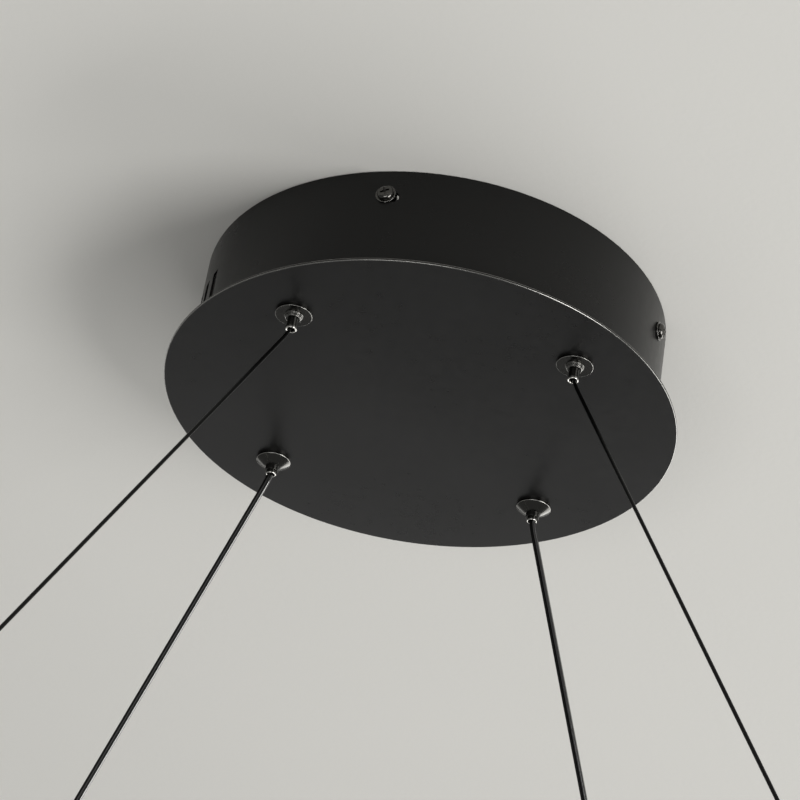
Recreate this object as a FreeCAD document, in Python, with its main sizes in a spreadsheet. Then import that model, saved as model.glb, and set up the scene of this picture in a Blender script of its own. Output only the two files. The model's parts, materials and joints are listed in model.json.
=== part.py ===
import FreeCAD, Part
import math
import os
import re

import Sketcher

# LED ring chandelier: a round ceiling canopy, four cable grippers, four fanned suspension wires
# and a level ring of light. Millimetres, +Z up. The origin lies on the ceiling, at the middle of
# the bracket's top face, and the grippers stand in a square whose sides run along X and Y.

V = FreeCAD.Vector

# Driving dimensions, by piece. Levels are heights above the ceiling plane, so they are negative.
SIZES = {
    "ceiling bracket": {
        "strap_thick": 2,
        "strap_half": 10,
        "tab_reach": 121.5,
        "tab_depth": 24,
        "tab_turn": -22,
        "arm_angle": 94.6,
        "hub_half": 24,
        "window_half": 12,
        "ceiling_pcd": 80,
        "ceiling_hole": 2.75,
        "ceiling_count": 2,
    },
    "side screws": {
        "screw_level": -16.3,
        "screw_shank": 2,
        "screw_hole": 2.05,
        "screw_head": 4.25,
        "screw_crown": 2.6,
        "screw_tip": 113,
        "washer_radius": 5.5,
        "washer_thick": 1,
        "washer_gap": 0.35,
    },
    "canopy": {
        "canopy_tall": 65,
        "drum_radius": 125.5,
        "drum_wall": 1,
        "rim_gap": 0.1,
        "plate_radius": 137.5,
        "plate_thick": 1.5,
        "slot_half": 3.15,
        "slot_corner": 1.85,
        "slot_reach": 3.8,
        "vent_half": 3,
        "vent_top": -26,
        "vent_foot": -57,
        "vent_step": 5.66,
        "vent_turn": 10.35,
        "vent_count": 4,
    },
    "grippers": {
        "fitting_half": 73,
        "spigot_radius": 3.7,
        "spigot_hole": 3.8,
        "body_flat": 6,
        "body_top": -44,
        "cap_thick": 2,
        "cap_hole": 2.4,
        "chamber_half": 3.9,
        "chamber_side": 3.4,
        "throat_half": 2.8,
        "taper_foot": -58,
        "plunger_bore": 2.65,
        "flange_radius": 9.6,
        "flange_thick": 1.2,
        "step_radius": 4.3,
        "step_tall": 1.2,
        "cone_radius": 9.55,
        "cone_foot": 4.3,
        "cone_tall": 4.4,
        "cone_rim": 0.9,
        "collar_tall": 3.4,
    },
    "plungers": {
        "tip_level": -74.8,
        "tube_radius": 2.6,
        "wire_mouth": 1.8,
        "wire_jaw": 1,
        "lead_jaw": 2,
        "wedge_top": -51,
        "wedge_lift": 0.2,
        "side_fit": 0.05,
        "taper_fit": 0.07,
        "slit_half": 0.3,
        "spring_radius": 3.15,
        "spring_wire": 0.6,
        "spring_play": 0.05,
        "spring_turns": 2.5,
        "spring_steps": 10,
    },
    "wires and leads": {
        "strand_sides": 8,
        "wire_radius": 0.95,
        "lead_radius": 0.95,
        "pair_half": 0.97,
        "tail_play": 0.1,
        "tail_top": -33,
        "lead_top": -30,
        "exit_bend": 2.5,
        "lead_part": 75,
        "lead_entry": 0.4,
        "core_radius": 1.2,
        "core_level": -50,
        "core_half": 5,
    },
    "power supply": {
        "driver_half_long": 75,
        "driver_half_wide": 20,
        "driver_tall": 28,
        "cradle_thick": 1,
        "cradle_half": 15,
        "cradle_tab": 8,
        "block_near": 92,
        "block_far": 110,
        "block_base": 6,
        "block_tall": 15,
        "block_rib": 3,
        "mains_half": 15,
        "output_half": 10,
    },
    "ring": {
        "ring_radius": 500,
        "ring_top": -783,
        "ring_depth": 16,
        "ring_tall": 30,
        "ring_wall": 1.5,
        "cover_thick": 1.5,
        "cover_set": 0.6,
        "cover_play": 0.1,
        "joiner_near": 488,
        "joiner_far": 497.5,
        "joiner_half": 20,
        "joiner_thick": 2,
        "board_back": 495.7,
        "board_thick": 1,
        "board_half_long": 50,
        "board_half_wide": 5,
        "board_count": 30,
    },
    "wire anchors": {
        "anchor_ring": 492,
        "anchor_half": 6,
        "anchor_tall": 14,
        "anchor_base": 2,
        "anchor_foot_half": 12,
        "anchor_gap": 1.3,
        "anchor_cheek": 3,
        "barrel_level": -775,
        "barrel_radius": 2.45,
        "barrel_notch": 2.55,
        "gland_offset": 20,
        "gland_half": 3,
        "gland_play": 0.1,
        "gland_flange": 4.5,
        "gland_edge": 1.5,
        "gland_reach": 3,
    },
}

# The four fittings: number, azimuth of the fitting, and whether it passes a power lead as well.
FITTINGS = [(1, -135, False), (2, -45, False), (3, 135, True), (4, 45, True)]
FULL_TURN = 360
HALF_TURN = 180
QUARTER_TURN = 90
FLAT = 0.0001

# Levels, radii and slopes that follow from the driving dimensions.
PLATE_FOOT = "-canopy_tall"
PLATE_TOP = "plate_thick - canopy_tall"
NUT_FOOT = "-canopy_tall - flange_thick - step_tall"
FITTING_RADIUS = "fitting_half * sqrt(2)"
WEDGE_FOOT = "taper_foot + wedge_lift"
SLOPE = "(chamber_half - throat_half) / (body_top - taper_foot)"

doc = FreeCAD.newDocument("RingChandelier")
sheet = doc.addObject("Spreadsheet::Sheet", "Sizes")
ALIASES = [alias for group in SIZES.values() for alias in group]
parts = {}


# ---- sheet and sketch helpers ----


def fill_sheet():
    """Writes one row for each driving dimension: its group, its name and its value."""
    row = 0
    for group, sizes in SIZES.items():
        for alias, value in sizes.items():
            row += 1
            sheet.set(f"A{row}", group)
            sheet.set(f"B{row}", alias)
            sheet.set(f"C{row}", str(value))
            sheet.setAlias(f"C{row}", alias)
    doc.recompute()


def sized(text):
    """The formula with each size's name pointing to its cell."""
    return re.sub(r"[a-z_]+", lambda word: pointed(word.group()), text)


def pointed(word):
    """The word itself, or its cell where it names a size."""
    return f"Sizes.{word}" if word in ALIASES else word


def number(text):
    """The formula's present value."""
    return float(sheet.evalExpression(text))


def new_body(label):
    """An empty body that becomes the sub-part of that name."""
    body = doc.addObject("PartDesign::Body", label)
    body.Label = label
    parts[label] = body
    return body


def turned(body, azimuth):
    """Turns the finished body about the vertical axis."""
    body.Placement = FreeCAD.Placement(V(0, 0, 0), FreeCAD.Rotation(V(0, 0, 1), azimuth))


def sketch_on(body, role, level="0"):
    """A sketch on one of the body's own origin planes, lifted off it by the level."""
    plane = next(item for item in body.Origin.OriginFeatures if item.Role == role)
    sketch = body.newObject("Sketcher::SketchObject", f"{body.Label}_sketch")
    sketch.AttachmentSupport = [(plane, "")]
    sketch.MapMode = "FlatFace"
    if level != "0":
        sketch.setExpression("AttachmentOffset.Base.z", sized(level))
    return sketch


def wall_sketch(body, radius, azimuth):
    """A sketch that stands upright at that radius, square to that azimuth, facing outwards."""
    sketch = sketch_on(body, "YZ_Plane")
    turn = FreeCAD.Rotation(V(0, 1, 0), number(azimuth))
    sketch.AttachmentOffset = FreeCAD.Placement(turn.multVec(V(0, 0, number(radius))), turn)
    return sketch


def hold(sketch, kind, geometry, point, text):
    """Holds a point's distance from the sketch's origin at the formula's value."""
    held = Sketcher.Constraint(kind, -1, 1, geometry, point, number(text))
    sketch.setExpression(f"Constraints[{sketch.addConstraint(held)}]", sized(text))


def polygon(sketch, corners):
    """A closed outline through the corners, each of them held at its two sizes."""
    places = [V(number(x), number(y), 0) for x, y in corners]
    first = sketch.GeometryCount
    for here, there in zip(places, places[1:] + places[:1]):
        sketch.addGeometry(Part.LineSegment(here, there), False)
    for step, (x, y) in enumerate(corners):
        following = first + (step + 1) % len(corners)
        sketch.addConstraint(Sketcher.Constraint("Coincident", first + step, 2, following, 1))
        hold(sketch, "DistanceX", first + step, 1, x)
        hold(sketch, "DistanceY", first + step, 1, y)
    return sketch


def rectangle(sketch, left, right, low, high):
    """A closed rectangle between two pairs of sizes."""
    return polygon(sketch, [(left, low), (right, low), (right, high), (left, high)])


def circle(sketch, x, y, radius):
    """A circle with its centre and radius held."""
    centre = V(number(x), number(y), 0)
    curve = sketch.addGeometry(Part.Circle(centre, V(0, 0, 1), number(radius)), False)
    hold(sketch, "DistanceX", curve, 3, x)
    hold(sketch, "DistanceY", curve, 3, y)
    held = Sketcher.Constraint("Radius", curve, number(radius))
    sketch.setExpression(f"Constraints[{sketch.addConstraint(held)}]", sized(radius))
    return sketch


def slot_outline(sketch, left, right, level, half, corner):
    """A level slot with bevelled corners, between its two ends."""
    low, high = f"{level} - {half}", f"{level} + {half}"
    return polygon(sketch, [
        (f"{left} + {corner}", low),
        (f"{right} - {corner}", low),
        (right, f"{low} + {corner}"),
        (right, f"{high} - {corner}"),
        (f"{right} - {corner}", high),
        (f"{left} + {corner}", high),
        (left, f"{high} - {corner}"),
        (left, f"{low} + {corner}"),
    ])


def axis_line(sketch, x, level=None):
    """A construction line to turn about: upright at x, or level through that level."""
    if level is None:
        ends = (V(number(x), -1, 0), V(number(x), 1, 0))
    else:
        ends = (V(-1, number(level), 0), V(1, number(level), 0))
    line = sketch.addGeometry(Part.LineSegment(*ends), True)
    kind, size = ("DistanceX", x) if level is None else ("DistanceY", level)
    hold(sketch, kind, line, 1, size)
    hold(sketch, kind, line, 2, size)
    return (sketch, ["Axis0"])


# ---- feature helpers ----


def revolve(body, sketch, axis=None, angle=FULL_TURN):
    """Turns the outline about the body's upright axis, or about the sketch's own line."""
    feature = body.newObject("PartDesign::Revolution", f"{body.Label}_turning")
    feature.Profile = sketch
    feature.ReferenceAxis = axis or (sketch, ["V_Axis"])
    feature.Angle = angle
    doc.recompute()
    return feature


def pad(body, sketch, length, downwards=False, centred=False):
    """Adds the outline's thickness on one side of its plane, or half of it on each."""
    feature = body.newObject("PartDesign::Pad", f"{body.Label}_pad")
    feature.Profile = sketch
    feature.Reversed = downwards
    feature.SideType = "Symmetric" if centred else "One side"
    feature.setExpression("Length", sized(length))
    doc.recompute()
    return feature


def cut(body, sketch, length, centred=False):
    """Takes the outline out of the body, downwards, and makes sure that something went."""
    before = body.Shape.Volume
    feature = body.newObject("PartDesign::Pocket", f"{body.Label}_cut")
    feature.Profile = sketch
    feature.SideType = "Symmetric" if centred else "One side"
    feature.setExpression("Length", sized(length))
    doc.recompute()
    if body.Shape.Volume >= before:
        raise ValueError(f"{feature.Label} cuts nothing")
    return feature


def repeat(body, features, count, angle=str(FULL_TURN)):
    """Repeats the features about the body's upright axis."""
    pattern = body.newObject("PartDesign::PolarPattern", f"{body.Label}_pattern")
    pattern.Originals = features
    upright = next(item for item in body.Origin.OriginFeatures if item.Role == "Z_Axis")
    pattern.Axis = (upright, [""])
    pattern.setExpression("Angle", sized(angle))
    pattern.setExpression("Occurrences", sized(count))
    body.Tip = pattern
    doc.recompute()
    return pattern


def turned_group(label, axis_radius, outline, azimuth, count, angle=str(FULL_TURN)):
    """Equal turned pieces on upright axes at that radius, repeated about the middle.

    The outline's first size is measured from the piece's own axis.
    """
    body = new_body(label)
    sketch = sketch_on(body, "XZ_Plane")
    polygon(sketch, [(f"{axis_radius} + {x}", y) for x, y in outline])
    piece = revolve(body, sketch, axis_line(sketch, axis_radius))
    repeat(body, [piece], count, angle)
    turned(body, azimuth)
    return body


def level_group(label, outline):
    """Equal turned pieces on level axes, one at each end of the bracket's two arms."""
    body = new_body(label)
    pieces = []
    for side in ("", "-"):
        sketch = sketch_on(body, "XZ_Plane")
        polygon(sketch, [(f"{side}({x})", f"screw_level + {y}") for x, y in outline])
        pieces.append(revolve(body, sketch, axis_line(sketch, None, "screw_level")))
    repeat(body, pieces, "2", "arm_angle")
    turned(body, number("tab_turn"))
    return body


# ---- ceiling side ----


def ceiling_bracket():
    """Two crossed arms with a square hub, and a turned-down tab at each end for a side screw."""
    body = new_body("ceiling_bracket")
    strap = rectangle(
        sketch_on(body, "XY_Plane"), "-tab_reach", "tab_reach", "-strap_half", "strap_half",
    )
    arm = [pad(body, strap, "strap_thick", downwards=True)]
    edge = sketch_on(body, "XY_Plane")
    rectangle(edge, "tab_reach - strap_thick", "tab_reach", "-strap_half", "strap_half")
    rectangle(edge, "-tab_reach", "strap_thick - tab_reach", "-strap_half", "strap_half")
    arm.append(pad(body, edge, "tab_depth", downwards=True))
    hole = circle(sketch_on(body, "YZ_Plane"), "0", "screw_level", "screw_hole")
    arm.append(cut(body, hole, "tab_reach * 2 + strap_thick", centred=True))
    repeat(body, arm, "2", "arm_angle")
    hub = rectangle(sketch_on(body, "XY_Plane"), "-hub_half", "hub_half", "-hub_half", "hub_half")
    pad(body, hub, "strap_thick", downwards=True)
    window = rectangle(
        sketch_on(body, "XY_Plane"), "-window_half", "window_half", "-window_half", "window_half",
    )
    cut(body, window, "strap_thick")
    fixing = circle(sketch_on(body, "XY_Plane"), "ceiling_pcd / 2", "0", "ceiling_hole")
    repeat(body, [cut(body, fixing, "strap_thick")], "ceiling_count")
    turned(body, number("tab_turn"))


def side_screws():
    """Four pan-head screws with washers under their heads, threaded into the bracket's tabs."""
    seat = "drum_radius + washer_gap"
    ledge = f"{seat} + washer_thick"
    level_group("side_screws", [
        ("screw_tip", "0"),
        (f"{ledge} + screw_crown", "0"),
        (f"{ledge} + screw_crown", "screw_head"),
        (ledge, "screw_head"),
        (ledge, "washer_radius"),
        (seat, "washer_radius"),
        (seat, "screw_shank"),
        ("screw_tip", "screw_shank"),
    ])


# ---- canopy ----


def canopy_drum():
    """Rolled steel drum, open at both ends, with slots for the side screws and vent slits."""
    body = new_body("canopy_drum")
    wall = sketch_on(body, "XZ_Plane")
    rectangle(wall, "drum_radius - drum_wall", "drum_radius", PLATE_TOP, "-rim_gap")
    revolve(body, wall)
    slots = []
    for end in ("tab_turn", "tab_turn + 180"):
        slot = wall_sketch(body, "drum_radius + drum_wall", end)
        slot_outline(
            slot, "-slot_half", "slot_reach + slot_half", "screw_level", "slot_half", "slot_corner",
        )
        slots.append(cut(body, slot, "drum_wall * 5"))
    repeat(body, slots, "2", "arm_angle")
    for side in ("vent_turn", "vent_turn + 180"):
        slit = wall_sketch(body, "drum_radius + drum_wall", f"{side} - vent_step * (vent_count - 1) / 2")
        rectangle(slit, "-vent_half", "vent_half", "vent_foot", "vent_top")
        repeat(body, [cut(body, slit, "drum_wall * 3")], "vent_count", "vent_step * (vent_count - 1)")


def canopy_plate():
    """Thin bottom plate, wider than the drum that is welded to it, with four spigot holes."""
    body = new_body("canopy_plate")
    outline = circle(sketch_on(body, "XY_Plane", PLATE_FOOT), "0", "0", "plate_radius")
    pad(body, outline, "plate_thick")
    spigot = circle(sketch_on(body, "XY_Plane", PLATE_TOP), "fitting_half", "fitting_half", "spigot_hole")
    repeat(body, [cut(body, spigot, "plate_thick")], "4")


# ---- grippers ----


def gripper_bodies(label, spigot_end, azimuth):
    """Two hexagon bodies: a spigot through the plate, and a chamber whose two ramps close downwards."""
    body = new_body(label)
    outline = hexagon(sketch_on(body, "XY_Plane", PLATE_TOP), FITTING_RADIUS, "body_flat")
    spigot = circle(sketch_on(body, "XY_Plane", PLATE_TOP), FITTING_RADIUS, "0", "spigot_radius")
    ramps = sketch_on(body, "XZ_Plane")
    ramp_outline(ramps, FITTING_RADIUS, "taper_foot", "throat_half", "body_top", "chamber_half")
    bore = circle(sketch_on(body, "XY_Plane", "taper_foot"), FITTING_RADIUS, "0", "plunger_bore")
    features = [
        pad(body, outline, f"body_top - ({PLATE_TOP})"),
        pad(body, spigot, f"{PLATE_TOP} - ({spigot_end})", downwards=True),
        cut(body, ramps, "chamber_side * 2", centred=True),
        cut(body, bore, f"taper_foot - ({spigot_end})"),
    ]
    repeat(body, features, "2", str(QUARTER_TURN))
    turned(body, azimuth)


def ramp_outline(sketch, x, low, low_half, high, high_half):
    """The outline between two ramps about an upright line."""
    return polygon(sketch, [
        (f"{x} - ({low_half})", low),
        (f"{x} + {low_half}", low),
        (f"{x} + {high_half}", high),
        (f"{x} - ({high_half})", high),
    ])


def gripper_caps():
    """Hexagon caps that close the four chambers and hold the springs down."""
    body = new_body("gripper_caps")
    outline = sketch_on(body, "XY_Plane", "body_top")
    hexagon(outline, FITTING_RADIUS, "body_flat")
    hexagon(outline, FITTING_RADIUS, "cap_hole")
    repeat(body, [pad(body, outline, "cap_thick")], "4")
    turned(body, FITTINGS[3][1])


def flange_nuts():
    """Nuts with a wide thin flange, under the plate on the two plain grippers' spigots."""
    turned_group("flange_nuts", FITTING_RADIUS, [
        ("spigot_radius", PLATE_FOOT),
        ("flange_radius", PLATE_FOOT),
        ("flange_radius", f"{PLATE_FOOT} - flange_thick"),
        ("step_radius", f"{PLATE_FOOT} - flange_thick"),
        ("step_radius", NUT_FOOT),
        ("spigot_radius", NUT_FOOT),
    ], FITTINGS[0][1], "2", str(QUARTER_TURN))


def lead_cones():
    """Cone nuts under the plate, on the spigots of the two grippers that pass a power lead."""
    turned_group("lead_cones", FITTING_RADIUS, [
        ("spigot_radius", PLATE_FOOT),
        ("cone_radius", PLATE_FOOT),
        ("cone_radius", f"{PLATE_FOOT} - cone_rim"),
        ("cone_foot", f"{PLATE_FOOT} - cone_tall"),
        ("spigot_radius", f"{PLATE_FOOT} - cone_tall"),
    ], FITTINGS[3][1], "2", str(QUARTER_TURN))


def place_at_fitting(body, azimuth):
    """Moves a piece that was made on the upright axis to its fitting."""
    turn = FreeCAD.Rotation(V(0, 0, 1), azimuth)
    body.Placement = FreeCAD.Placement(turn.multVec(V(number(FITTING_RADIUS), 0, 0)), turn)


def wedge_half(level):
    """Half the wedge's width at a level: the chamber's, less the fit."""
    return f"throat_half + ({level} - taper_foot) * {SLOPE} - taper_fit"


def plunger(index, azimuth, passes_lead):
    """Release plunger: a tube under a wedge, slit in two, that the chamber's ramps close."""
    body = new_body(f"plunger_{index}")
    tube = circle(sketch_on(body, "XY_Plane", "tip_level"), "0", "0", "tube_radius")
    pad(body, tube, f"{WEDGE_FOOT} - tip_level")
    wedge = ramp_outline(
        sketch_on(body, "XZ_Plane"), "0",
        WEDGE_FOOT, wedge_half(f"({WEDGE_FOOT})"), "wedge_top", wedge_half("wedge_top"),
    )
    pad(body, wedge, "(chamber_side - side_fit) * 2", centred=True)
    jaw = "lead_jaw" if passes_lead else "wire_jaw"
    hole = circle(sketch_on(body, "XY_Plane", "wedge_top"), "0", "0", jaw)
    cut(body, hole, "wedge_top - tip_level")
    if not passes_lead:
        mouth = circle(sketch_on(body, "XY_Plane", WEDGE_FOOT), "0", "0", "wire_mouth")
        cut(body, mouth, f"{WEDGE_FOOT} - tip_level")
    slit = rectangle(
        sketch_on(body, "XY_Plane", "wedge_top"),
        "-slit_half", "slit_half", "-chamber_side", "chamber_side",
    )
    cut(body, slit, f"wedge_top - ({WEDGE_FOOT})")
    place_at_fitting(body, azimuth)


def plunger_spring(index, azimuth):
    """Coil spring of square wire between a wedge and its gripper's cap."""
    foot = number("wedge_top + spring_play")
    wire = number("spring_wire")
    outer = number("spring_radius")
    steps = int(number("spring_turns * spring_steps"))
    rise = (number("body_top - spring_play") - wire - foot) / steps
    turn = 2 * math.pi / number("spring_steps")
    corners = ((outer - wire, 0), (outer, 0), (outer, wire), (outer - wire, wire))
    loops = []
    for step in range(steps + 1):
        side = V(math.cos(turn * step), math.sin(turn * step), 0)
        loops.append([side * reach + V(0, 0, foot + rise * step + lift) for reach, lift in corners])
    feature = shape_feature(f"plunger_spring_{index}", [skin(loops)])
    place_at_fitting(feature, azimuth)


# ---- power supply ----


def led_driver():
    """Driver case, lying along Y in its cradle."""
    body = new_body("led_driver")
    base = rectangle(
        sketch_on(body, "XY_Plane", f"{PLATE_TOP} + cradle_thick"),
        "-driver_half_wide", "driver_half_wide", "-driver_half_long", "driver_half_long",
    )
    pad(body, base, "driver_tall")


def driver_cradle():
    """Folded steel cradle, welded to the plate, whose two ends hold the driver in place."""
    body = new_body("driver_cradle")
    outer = "driver_half_long + cradle_thick"
    tab = f"{PLATE_TOP} + cradle_thick + cradle_tab"
    outline = sketch_on(body, "YZ_Plane")
    polygon(outline, [
        (f"-({outer})", PLATE_TOP),
        (outer, PLATE_TOP),
        (outer, tab),
        ("driver_half_long", tab),
        ("driver_half_long", f"{PLATE_TOP} + cradle_thick"),
        ("-driver_half_long", f"{PLATE_TOP} + cradle_thick"),
        ("-driver_half_long", tab),
        (f"-({outer})", tab),
    ])
    pad(body, outline, "cradle_half * 2", centred=True)


def hexagon(sketch, x, flat):
    """A hexagon about a point on the X axis, with two flats square to X."""
    corner = f"{flat} / cos(30)"
    half = f"{flat} * tan(30)"
    polygon(sketch, [
        (f"{x} + {flat}", f"-({half})"),
        (f"{x} + {flat}", half),
        (x, corner),
        (f"{x} - {flat}", half),
        (f"{x} - {flat}", f"-({half})"),
        (x, f"-({corner})"),
    ])
    return sketch


def terminal_block(label, side, half):
    """Terminal block: a low base with a raised rib that holds the clamps."""
    body = new_body(label)
    base = rectangle(
        sketch_on(body, "XY_Plane", PLATE_TOP),
        f"-{half}", half, f"{side}block_near", f"{side}block_far",
    )
    pad(body, base, "block_base")
    rib = rectangle(
        sketch_on(body, "XY_Plane", f"{PLATE_TOP} + block_base"),
        f"-{half}", half, f"{side}(block_near + block_rib)", f"{side}(block_far - block_rib)",
    )
    pad(body, rib, "block_tall - block_base")


def cores(label, side):
    """Two short insulated cores between a terminal block and the driver's end."""
    level = number("core_level")
    near, far = side * number("driver_half_long"), side * number("block_near + block_rib")
    paths = [[V(x, near, level), V(x, far, level)] for x in (-number("core_half"), number("core_half"))]
    strands(label, paths, number("core_radius"))


# ---- wires and leads ----


def shape_feature(label, solids):
    """A sub-part that is given by its solids."""
    feature = doc.addObject("Part::Feature", label)
    feature.Label = label
    feature.Shape = Part.makeCompound(solids) if len(solids) > 1 else solids[0]
    parts[label] = feature
    return feature


def skin(loops):
    """The solid between a row of equal closed loops of points, with flat ends."""
    faces = [flat_face(loops[0]), flat_face(loops[-1])]
    for here, there in zip(loops, loops[1:]):
        for first in range(len(here)):
            second = (first + 1) % len(here)
            faces += side_faces(here[first], here[second], there[second], there[first])
    solid = Part.Solid(Part.Shell(faces))
    if solid.Volume < 0:
        solid.reverse()
    return solid


def flat_face(corners):
    """A flat face through the corners."""
    return Part.Face(Part.makePolygon([*corners, corners[0]]))


def side_faces(first, second, third, fourth):
    """One flat face through four corners, or two where they don't lie in one plane."""
    normal = (second - first).cross(fourth - first).normalize()
    if abs(normal.dot(third - first)) < FLAT:
        return [flat_face((first, second, third, fourth))]
    return [flat_face((first, second, third)), flat_face((first, third, fourth))]


def strand(points, radius):
    """A strand with many flat sides along straight runs, mitred where two runs meet."""
    sides = int(number("strand_sides"))
    runs = [(there - here).normalize() for here, there in zip(points, points[1:])]
    across = runs[0].cross(V(0, 1, 0) if abs(runs[0].y) < 0.9 else V(1, 0, 0)).normalize()
    upright = runs[0].cross(across)
    loop = []
    for side in range(sides):
        angle = 2 * math.pi * side / sides
        loop.append(points[0] + (across * math.cos(angle) + upright * math.sin(angle)) * radius)
    loops = [loop]
    for place, (here, run) in enumerate(zip(points[1:], runs), 1):
        normal = run + runs[place] if place < len(runs) else V(run)
        normal.normalize()
        loop = [corner + run * ((here - corner).dot(normal) / run.dot(normal)) for corner in loop]
        loops.append(loop)
    return skin(loops)


def strands(label, paths, radius):
    """A sub-part of one strand for each path."""
    for points in paths:
        runs = [(there - here).Length for here, there in zip(points, points[1:])]
        print(f"{label}: {sum(runs):.0f} mm long")
    shape_feature(label, [strand(points, radius) for points in paths])


def at_azimuth(azimuth, outward, aside, level):
    """The point that far out at an azimuth, that far aside (clockwise from above), at a level."""
    turn = FreeCAD.Rotation(V(0, 0, 1), azimuth)
    return turn.multVec(V(outward, -aside, level))


def strand_start():
    """The level just under the plungers' ring ends, where the free strands begin."""
    return number("tip_level - tail_play")


def wire_tails():
    """The wires' upper ends, straight up through their grippers."""
    paths = []
    for _, azimuth, passes_lead in FITTINGS:
        aside = -number("pair_half") if passes_lead else 0
        place = (azimuth, number(FITTING_RADIUS), aside)
        paths.append([at_azimuth(*place, number("tip_level")), at_azimuth(*place, number("tail_top"))])
    strands("wire_tails", paths, number("wire_radius"))


def suspension_wire(index, azimuth, passes_lead):
    """A taut wire from its gripper's mouth to its barrel on the ring."""
    top = strand_start()
    outward = number(FITTING_RADIUS)
    aside = -number("pair_half") if passes_lead else 0
    start = at_azimuth(azimuth, outward, aside, top)
    bend = at_azimuth(azimuth, outward, aside, top - number("exit_bend"))
    barrel = at_azimuth(azimuth, number("anchor_ring"), 0, number("barrel_level"))
    lean = (bend - barrel).normalize()
    end = barrel + lean * number("barrel_radius")
    strands(f"suspension_wire_{index}", [[start, bend, end]], number("wire_radius"))


def power_lead(index, azimuth):
    """A lead that runs beside its wire and turns aside to its grommet above the ring."""
    top = strand_start()
    outward = number(FITTING_RADIUS)
    beside = number("pair_half")
    anchor_ring = number("anchor_ring")
    bend_level = top - number("exit_bend")
    part_level = number("barrel_level + lead_part")
    share = (part_level - bend_level) / (number("barrel_level") - bend_level)
    points = [
        at_azimuth(azimuth, outward, beside, top),
        at_azimuth(azimuth, outward, beside, bend_level),
        at_azimuth(azimuth, outward + (anchor_ring - outward) * share, beside * (1 + share), part_level),
        at_azimuth(azimuth, anchor_ring, number("gland_offset"), number("barrel_level")),
        at_azimuth(azimuth, anchor_ring, number("gland_offset"), number("ring_top + gland_edge")),
    ]
    strands(f"power_lead_{index}", [points], number("lead_radius"))


def inner_lead(index, azimuth, side):
    """A lead's inner end: up through its gripper and across to one side of the output terminal."""
    outward = number(FITTING_RADIUS)
    aside = number("pair_half")
    points = [
        at_azimuth(azimuth, outward, aside, number("tip_level")),
        at_azimuth(azimuth, outward, aside, number("lead_top")),
        V(
            side * number("output_half + lead_entry"),
            number("(block_near + block_far) / 2"),
            number(f"{PLATE_TOP} + block_tall - block_rib"),
        ),
    ]
    strands(f"inner_lead_{index}", [points], number("lead_radius"))


# ---- ring ----


def ring_channel(label, azimuth, leads_enter):
    """Half of the rolled channel, open towards the middle; the far half lets the leads in."""
    body = new_body(label)
    inner = "ring_radius - ring_depth"
    outer_wall = "ring_radius - ring_wall"
    foot = "ring_top - ring_tall"
    section = sketch_on(body, "XZ_Plane")
    polygon(section, [
        ("ring_radius", "ring_top"),
        ("ring_radius", foot),
        (inner, foot),
        (inner, f"{foot} + ring_wall"),
        (outer_wall, f"{foot} + ring_wall"),
        (outer_wall, "ring_top - ring_wall"),
        (inner, "ring_top - ring_wall"),
        (inner, "ring_top"),
    ])
    revolve(body, section, angle=HALF_TURN)
    if leads_enter:
        notch = sketch_on(body, "XY_Plane", "ring_top")
        notch.AttachmentOffset = FreeCAD.Placement(
            V(0, 0, number("ring_top")), FreeCAD.Rotation(V(0, 0, 1), FITTINGS[3][1]),
        )
        grommet_outline(notch, "gland_half + gland_play")
        repeat(body, [cut(body, notch, "ring_wall")], "2", str(QUARTER_TURN))
    turned(body, azimuth)


def ring_joiners():
    """Two pairs of plates inside the channel, across the joints of its halves."""
    body = new_body("ring_joiners")
    plates = []
    for level, downwards in (
        ("ring_top - ring_wall", True),
        ("ring_top - ring_tall + ring_wall", False),
    ):
        outline = rectangle(
            sketch_on(body, "XY_Plane", level),
            "joiner_near", "joiner_far", "-joiner_half", "joiner_half",
        )
        plates.append(pad(body, outline, "joiner_thick", downwards=downwards))
    repeat(body, plates, "2")


def grommet_outline(sketch, half):
    """The square about a lead's entry into the ring."""
    return rectangle(
        sketch,
        f"anchor_ring - ({half})", f"anchor_ring + {half}",
        f"-gland_offset - ({half})", f"-gland_offset + {half}",
    )


def diffuser(label, azimuth):
    """Half of the opal cover, held between the channel's two flanges."""
    body = new_body(label)
    inner = "ring_radius - ring_depth + cover_set"
    low = "ring_top - ring_tall + ring_wall + cover_play"
    high = "ring_top - ring_wall - cover_play"
    rectangle(sketch_on(body, "XZ_Plane"), inner, f"{inner} + cover_thick", low, high)
    revolve(body, body.Group[-1], angle=HALF_TURN)
    turned(body, azimuth)


def led_boards():
    """Straight boards that carry the light-emitting chips, end to end inside the channel."""
    body = new_body("led_boards")
    middle = "ring_top - ring_tall / 2"
    face = rectangle(
        sketch_on(body, "YZ_Plane", "board_back"),
        "-board_half_long", "board_half_long",
        f"{middle} - board_half_wide", f"{middle} + board_half_wide",
    )
    repeat(body, [pad(body, face, "board_thick", downwards=True)], "board_count")


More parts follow.
